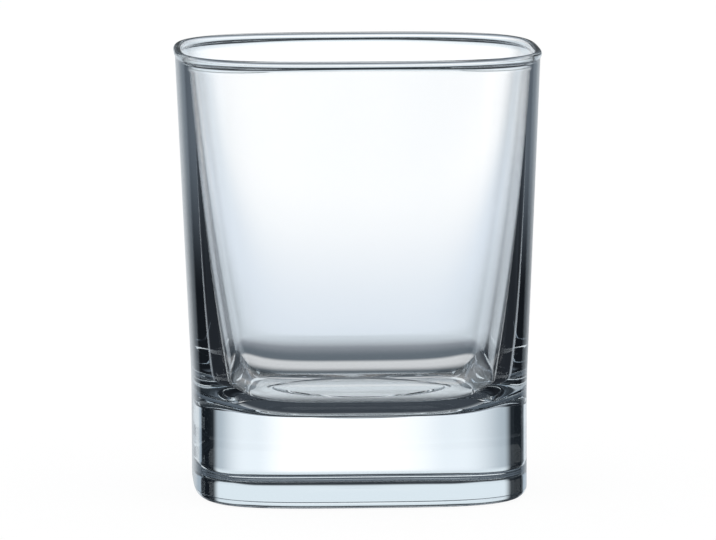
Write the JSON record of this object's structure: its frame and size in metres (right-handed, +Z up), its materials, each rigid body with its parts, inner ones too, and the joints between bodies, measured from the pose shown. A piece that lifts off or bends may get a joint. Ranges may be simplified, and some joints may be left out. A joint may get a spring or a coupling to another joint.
{
  "type": "drinking glass",
  "caption": "Clear heavy-based tumbler: rounded square base block opening into a softly squared rolled rim, for holding a cold drink.",
  "frame": {"origin": "middle of the base, on the plane the glass stands on", "axes": "+Z up along the glass's own axis, +X and +Y square to the flats of the base block"},
  "size_m": [0.08, 0.08, 0.0969],
  "materials": {
    "glass": "fire-polished clear soda-lime glass"
  },
  "bodies": {
    "root": {"tumbler": "glass"}
  },
  "joints": []
}
